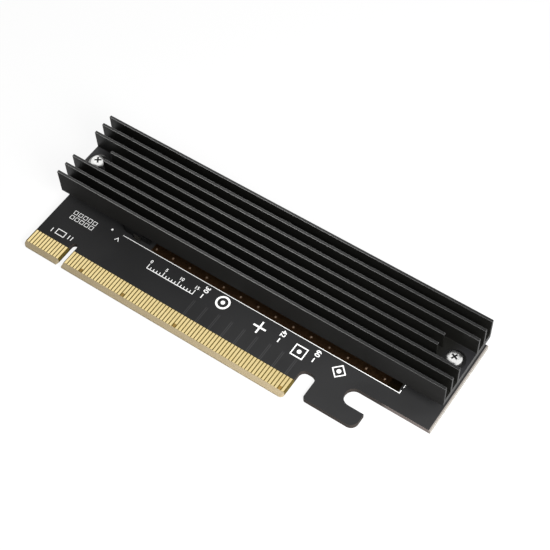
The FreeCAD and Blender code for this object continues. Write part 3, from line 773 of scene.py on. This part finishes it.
def dress_heatsink(sink, screw_inset, material):
    """Comb of fins on a base, middle fins milled back at both ends, with eased edges."""
    recipe = Recipe(
        "fin_comb",
        Length=sink.size[0], Depth=sink.size[1], Base=SINK_BASE, Height=sink.size[2],
        Fin_Count=FIN_COUNT, Fin=FIN_THICK, Cleared_Fins=CLEARING_FINS, Clearing=CLEARING_LONG,
        Inset=screw_inset, Spot_Radius=SPOT_FACE_RADIUS, Spot_Depth=SPOT_FACE_DEPTH,
        Hole_Radius=SCREW_HOLE_RADIUS)
    length, depth, base, height = (recipe.size(name) for name in ("Length", "Depth", "Base", "Height"))
    fin, count, inset = (recipe.size(name) for name in ("Fin", "Fin_Count", "Inset"))
    middle_x, middle_y, low = mm(sink.middle[0], sink.middle[1], sink.low[2])

    # Base and row of fins
    base_place = recipe.vector(middle_x, middle_y, base / 2 + low)
    plate = recipe.moved(recipe.block(length, depth, base), base_place)
    pitch = (depth - fin) / (count - 1)
    fin_high = height - base / 2
    fin_start = recipe.vector(middle_x, middle_y - (depth - fin) / 2, low + base / 2 + fin_high / 2)
    fins = recipe.row(
        recipe.block(length, fin, fin_high), count, fin_start, recipe.vector(0.0, pitch, 0.0))
    comb = recipe.join("UNION", plate, recipe.realise(fins))

    # A clearing, a spot face and a screw hole at each end
    clearing_wide = pitch * (recipe.size("Cleared_Fins") + 1) - fin
    clearing_high = height - base + CUT_OVER * MM
    clearing = recipe.block(recipe.size("Clearing") * 2, clearing_wide, clearing_high)
    clearing_start = recipe.vector(middle_x - length / 2, middle_y, low + base + clearing_high / 2)
    span = length - inset * 2
    spot = recipe.peg(recipe.size("Spot_Radius"), recipe.size("Spot_Depth") * 2)
    bore = recipe.peg(recipe.size("Hole_Radius"), height * 2)
    screw_start = recipe.vector(middle_x - span / 2, middle_y, low + base)
    cuts = ((clearing, clearing_start, length), (spot, screw_start, span), (bore, screw_start, span))
    for cutter, start, apart in cuts:
        pair = recipe.row(cutter, 2, start, recipe.vector(apart, 0.0, 0.0))
        comb = recipe.join("DIFFERENCE", comb, recipe.realise(pair))
    return recipe.piece("heatsink_dressed", comb, material, bevel=EASED_EDGE)


def repeat_piece(name, seed, material, count, start, pitch, turn=None, spare=None):
    """A row of one modelled piece, made one mesh."""
    recipe = Recipe(
        name + "_row", Count=count, Start_X=start[0], Start_Y=start[1], Start_Z=start[2], Pitch=pitch)
    shape = recipe.node("GeometryNodeObjectInfo", {}, {"Object": seed}, out="Geometry")
    place = recipe.vector(*(recipe.size(axis) for axis in ("Start_X", "Start_Y", "Start_Z")))
    step = recipe.vector(recipe.size("Pitch"), 0.0, 0.0)
    row = recipe.row(shape, recipe.size("Count"), place, step, turn)
    piece = recipe.piece(name, row, material, spare=spare)
    bpy.data.objects.remove(seed)
    return piece


def screw_row(node, seat, radius, count, turn, material, recess_shade_material):
    """Screws where a CAD node has them, with heads seated at a height, made one mesh."""
    box = Box(node)
    head = box.size[1] / 2
    seed = cross_screw(
        node + "_seed", radius, seat - box.low[2], head, box.high[2] - seat, material, recess_shade_material)
    span = box.size[0] - head * 2
    first = (box.middle[0] - span * (count - 1) / 2, box.middle[1], seat)
    return repeat_piece(
        node + "_dressed", seed, material, count, first, span, math.radians(turn), recess_shade_material)


def dress_screws(material, recess_shade_material):
    """Cross-recessed screws of the heatsink and of the drive post."""
    sink_seat = Box("heatsink").low[2] + SINK_BASE - SPOT_FACE_DEPTH
    screws = screw_row(
        "heatsink_screws", sink_seat, SINK_SCREW_RADIUS, 2, SINK_SCREW_TURN, material, recess_shade_material)
    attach(screws, "root")
    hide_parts("heatsink_screws")

    post_seat = Box("ssd_post").high[2]
    screw = screw_row(
        "ssd_screw", post_seat, DRIVE_SCREW_RADIUS, 1, DRIVE_SCREW_TURN, material, recess_shade_material)
    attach(screw, "root")
    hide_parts("ssd_screw")


def dress_vias():
    """Filled vias: a gilt ring round a low dome of tin."""
    vias = Box("bay_vias")
    pitch = (vias.size[0] - VIA_WIDE) / (VIA_COUNT - 1)
    material = filled_via(vias, pitch)
    profile = (
        (0.0, 0.0), (VIA_RADIUS, 0.0), (VIA_RADIUS, BOARD_TOP), (VIA_RADIUS - 0.05, BOARD_TOP + VIA_LIP),
        (VIA_DOT + 0.06, BOARD_TOP + VIA_LIP), (VIA_DOT, BOARD_TOP), (VIA_DOT * 0.7, BOARD_TOP + 0.05),
        (0.0, BOARD_TOP + 0.07))
    seed = mesh_piece("via_seed", lathe(profile, VIA_STEPS), material)
    first = (vias.low[0] + VIA_WIDE / 2, vias.middle[1], 0.0)
    row = repeat_piece("bay_vias_dressed", seed, material, VIA_COUNT, first, pitch)
    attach(row, "root")
    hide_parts("bay_vias")


class Legend:
    """Printed marks on the component side, gathered in one thin mesh, placed in millimetres."""

    def __init__(self):
        self.shape = bmesh.new()

    def outline(self, corners, level):
        """Corners of a mark at one level."""
        return [self.shape.verts.new(mm(x, y, level)) for x, y in corners]

    def wall(self, rim, onward):
        """Faces between two outlines that have as many corners."""
        for index in range(len(rim)):
            after = (index + 1) % len(rim)
            self.shape.faces.new((rim[index], rim[after], onward[after], onward[index]))

    def field(self, corners):
        """A filled mark."""
        low = self.outline(corners, PRINT_LOW)
        high = self.outline(corners, PRINT_HIGH)
        self.shape.faces.new(high)
        self.shape.faces.new(low[::-1])
        self.wall(low, high)

    def band(self, outer, inner):
        """A mark between two outlines that have as many corners."""
        rims = [
            self.outline(outer, PRINT_LOW), self.outline(outer, PRINT_HIGH),
            self.outline(inner, PRINT_HIGH), self.outline(inner, PRINT_LOW)]
        for rim, onward in zip(rims, rims[1:] + rims[:1]):
            self.wall(rim, onward)

    def stroke(self, points, width, closed=False):
        """A line through points, with mitred corners and square ends."""
        spots = [Vector(point) for point in points]
        left = []
        right = []
        for index, spot in enumerate(spots):
            runs = []
            if closed or index > 0:
                runs.append((spot - spots[index - 1]).normalized())
            if closed or index < len(spots) - 1:
                runs.append((spots[(index + 1) % len(spots)] - spot).normalized())
            way = sum(runs, Vector((0.0, 0.0))).normalized()
            aside = Vector((-way.y, way.x)) * (width / 2 / way.dot(runs[0]))
            left.append(tuple(spot + aside))
            right.append(tuple(spot - aside))
        if closed:
            self.band(right, left)
        else:
            self.field(right + left[::-1])

    def frame(self, x, y, wide, high, width):
        """The outline of a rectangle whose lowest corner is at x, y."""
        corners = ((x, y), (x + wide, y), (x + wide, y + high), (x, y + high))
        self.stroke(corners, width, closed=True)

    def plus(self, x, y, reach, width):
        """An upright cross of two equal bars."""
        half = width / 2
        corners = []
        for quarter in range(4):
            turn = Matrix.Rotation(quarter * math.pi / 2, 2)
            for corner in ((reach, -half), (reach, half), (half, half)):
                corners.append(tuple(turn @ Vector(corner) + Vector((x, y))))
        self.field(corners)

    def dot(self, x, y, radius):
        """A filled circle."""
        self.field(circle_points(x, y, radius, 28))

    def ring(self, x, y, radius, width, steps=40):
        """A circle drawn as a line, or with four steps a diamond."""
        self.stroke(circle_points(x, y, radius, steps), width, closed=True)

    def figures(self, text, x, y, height, turn=0, heavy=0.02):
        """Plain figures whose middle is at x, y, turned by an angle in degrees."""
        curve = bpy.data.curves.new("figures", "FONT")
        curve.body = text
        curve.align_x = "CENTER"
        curve.align_y = "CENTER"
        curve.size = height * MM * FIGURE_EM
        curve.offset = heavy * MM
        curve.resolution_u = 3
        curve.extrude = (PRINT_HIGH - PRINT_LOW) / 2 * MM
        mesh = evaluated_mesh(new_object("figures", curve))
        weld(mesh, FIGURE_WELD)
        middle = Matrix.Translation(mm(x, y, (PRINT_LOW + PRINT_HIGH) / 2))
        mesh.transform(middle @ Matrix.Rotation(math.radians(turn), 4, "Z"))
        self.shape.from_mesh(mesh)
        bpy.data.meshes.remove(mesh)


def print_legend(material):
    """Drive bay outline, drive lengths, contact numbers and plain alignment marks."""
    legend = Legend()

    # Outline of the drive bay
    legend.stroke(((BAY_LEFT, BAY_LINE), (BAY_RIGHT, BAY_LINE)), BAY_LINE_WIDE)
    legend.stroke(((48.27, -3.4), (48.27, -2.6)), CORNER_LINE)
    legend.stroke(((BAY_RIGHT, -1.7), (BAY_RIGHT, 0.1)), CORNER_LINE)
    legend.stroke(((49.2, 0.1), (50.8, 0.1)), FINE_LINE)
    legend.dot(-42.6, -3.6, 0.3)
    legend.stroke(((-40.1, -5.9), (-39.5, -4.9), (-38.9, -5.9)), FINE_LINE)

    # Drive lengths
    for length, x in DRIVE_LENGTHS:
        legend.figures(str(length), x, -5.2, height=1.45, turn=-90, heavy=0.035)
        legend.stroke(((x, -6.8), (x, -8.1)), 0.3)

    # Scale
    half_line = FINE_LINE / 2
    scale_right = SCALE_LEFT + SCALE_LONG
    for tick in range(SCALE_LONG + 1):
        x = SCALE_LEFT + tick
        tall = SHORT_TICK if tick % SCALE_STEP else TALL_TICK
        legend.stroke(((x, SCALE_LINE + half_line), (x, SCALE_LINE + tall)), FINE_LINE)
    legend.stroke(((SCALE_LEFT - half_line, SCALE_LINE), (scale_right + half_line, SCALE_LINE)), FINE_LINE)
    for number in range(0, SCALE_LONG + 1, SCALE_STEP):
        legend.figures(str(number), SCALE_LEFT + number, -6.1, height=1.0)

    # Alignment targets
    legend.ring(-3.9, -6.1, 1.75, 0.55)
    legend.dot(-3.9, -6.1, TARGET_DOT)
    legend.plus(8.4, -7.0, 1.9, 0.5)
    legend.frame(19.2, -9.0, 3.4, 3.2, 0.32)
    legend.dot(20.9, -7.4, TARGET_DOT)
    legend.ring(32.4, -6.6, 1.9, 0.3, steps=4)
    legend.dot(32.4, -6.6, TARGET_DOT)

    # Inspection boxes and contact numbers
    for row in range(BOX_ROWS):
        for column in range(BOX_COLUMNS):
            legend.frame(BOX_LEFT + column * 1.65, BOX_LOW + row * 1.7, 1.05, 1.1, 0.15)
    legend.figures("1", -56.4, -12.6, height=1.4)
    legend.frame(-55.0, -13.0, 2.8, 1.6, CORNER_LINE)
    legend.figures("11", -50.4, -12.2, height=1.4)

    printed = mesh_piece("legend_print", legend.shape, material)
    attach(printed, "root")


def paint_nodes(finishes):
    """Give each CAD node that stays in view its finish."""
    for node, material in finishes.items():
        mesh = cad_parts[node].data
        mesh.materials.clear()
        mesh.materials.append(material)


def seen_rays(graph):
    """1 or more for rays from the camera and those that a surface mirrors or lets through, else 0."""
    path = graph.node("ShaderNodeLightPath").socket.node
    kinds = ("Is Camera Ray", "Is Glossy Ray", "Is Transmission Ray")
    return sum(Wire(graph, path.outputs[kind]) for kind in kinds)


def pale_floor():
    """White floor that looks white to the camera and in reflections, and keeps the shadow."""
    material = bpy.data.materials.new("floor_white")
    material.use_nodes = True
    graph = Graph(material.node_tree)
    graph.tree.nodes.clear()
    lit = graph.node("ShaderNodeBsdfDiffuse", {}, {"Color": FLOOR_COLOUR})
    glow = graph.node("ShaderNodeEmission", {}, {"Color": WHITE, "Strength": 1.0})
    share = graph.node(
        "ShaderNodeMath", {"operation": "MINIMUM"}, {0: seen_rays(graph) * FLOOR_GLOW, 1: FLOOR_GLOW})
    blend = graph.node("ShaderNodeMixShader", {}, {0: share, 1: lit, 2: glow})
    target = graph.tree.nodes.new("ShaderNodeOutputMaterial")
    graph.feed(target.inputs["Surface"], blend)
    shape = bmesh.new()
    bmesh.ops.create_grid(shape, x_segments=1, y_segments=1, size=FLOOR_HALF_SIDE)
    bmesh.ops.translate(shape, verts=shape.verts, vec=(0, 0, FLOOR_LEVEL))
    floor = mesh_piece("floor", shape, material)


def studio_world():
    """White surroundings for camera and reflections, a plain level for diffuse light."""
    world = bpy.data.worlds.new("studio")
    world.use_nodes = True
    bpy.context.scene.world = world
    graph = Graph(world.node_tree)
    graph.tree.nodes.clear()
    level = seen_rays(graph) * (1 - ROOM_LEVEL) + ROOM_LEVEL
    strength = graph.node("ShaderNodeMath", {"operation": "MINIMUM"}, {0: level, 1: 1.0})
    glow = graph.node("ShaderNodeBackground", {}, {"Color": WHITE, "Strength": strength})
    target = graph.tree.nodes.new("ShaderNodeOutputWorld")
    graph.feed(target.inputs["Surface"], glow)


def softbox(name, place, aim, size, power, mirrored):
    """A square area lamp, in metres, aimed at a point, that glossy surfaces mirror or don't."""
    lamp = bpy.data.lights.new(name, "AREA")
    lamp.shape = "SQUARE"
    lamp.size = size
    lamp.energy = power
    holder = new_object(name, lamp)
    holder.visible_glossy = mirrored
    holder.location = place
    holder.rotation_euler = (Vector(aim) - Vector(place)).to_track_quat("-Z", "Y").to_euler()


def photo_camera():
    """Camera at the photograph's angle."""
    azimuth, elevation, roll = (
        math.radians(angle) for angle in (CAMERA_AZIMUTH, CAMERA_ELEVATION, CAMERA_ROLL))
    flat = math.cos(elevation)
    forward = Vector((-math.sin(azimuth) * flat, math.cos(azimuth) * flat, -math.sin(elevation)))
    level = Vector((math.cos(azimuth), math.sin(azimuth), 0.0))
    above = level.cross(forward)
    right = level * math.cos(roll) + above * math.sin(roll)
    up = above * math.cos(roll) - level * math.sin(roll)
    offset = right * CAMERA_ASIDE + up * CAMERA_ABOVE + forward * CAMERA_DISTANCE
    place = Vector(CAMERA_PIVOT) - offset
    lens = bpy.data.cameras.new("photo_camera")
    lens.sensor_width = CAMERA_SENSOR
    lens.lens = CAMERA_SENSOR * CAMERA_FOCAL_PIXELS / IMAGE_SIDE
    lens.clip_start = CAMERA_NEAREST * MM
    camera = new_object("photo_camera", lens)
    turn = Matrix((right, up, -forward)).transposed().to_4x4()
    camera.matrix_world = Matrix.Translation(place * MM) @ turn
    bpy.context.scene.camera = camera


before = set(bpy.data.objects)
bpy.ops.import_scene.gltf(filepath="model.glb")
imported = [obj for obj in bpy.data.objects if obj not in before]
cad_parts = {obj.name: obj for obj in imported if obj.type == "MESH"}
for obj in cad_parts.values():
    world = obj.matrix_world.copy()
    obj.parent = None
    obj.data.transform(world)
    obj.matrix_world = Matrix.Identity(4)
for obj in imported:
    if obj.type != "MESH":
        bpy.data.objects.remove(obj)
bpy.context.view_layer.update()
bpy.context.scene.view_settings.view_transform = "Standard"

sink_box = Box("heatsink")
screw_box = Box("heatsink_screws")
plane_box = Box("ssd_bay_plane")
screw_inset = sink_box.high[0] - screw_box.high[0] + screw_box.size[1] / 2
nickel = nickel_plate("nickel_bright", dark=0.8, light=0.95, rough=0.3)
# Darker nickel for the faces of the screws' cross recesses: painted shade
recess_shade_nickel = nickel_plate("nickel_recess", dark=0.16, light=0.3, rough=0.4)
contact_gold = hard_gold()

paint_nodes({
    "circuit_board": solder_mask(plane_box),
    "edge_contacts_front": contact_gold,
    "edge_contacts_back": contact_gold,
    "m2_socket_upper_contacts": contact_gold,
    "m2_socket_lower_contacts": contact_gold,
    "ssd_bay_plane": bare_plane(plane_box),
    "m2_socket_housing": moulded_nylon(),
    "m2_socket_lugs": dull_tin(),
    "heatsink_standoffs": nickel,
    "ssd_post": nickel,
    "thermal_pad": soft_heat_pad(),
})

heatsink = dress_heatsink(sink_box, screw_inset, black_anodised(sink_box, screw_inset))
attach(heatsink, "root")
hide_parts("heatsink")
dress_screws(nickel, recess_shade_nickel)
dress_vias()
print_legend(legend_ink())

pale_floor()
studio_world()
softbox("key", KEY_PLACE, KEY_AIM, KEY_SIZE, KEY_POWER, mirrored=False)
softbox("fill", FILL_PLACE, FILL_AIM, FILL_SIZE, FILL_POWER, mirrored=True)
photo_camera()
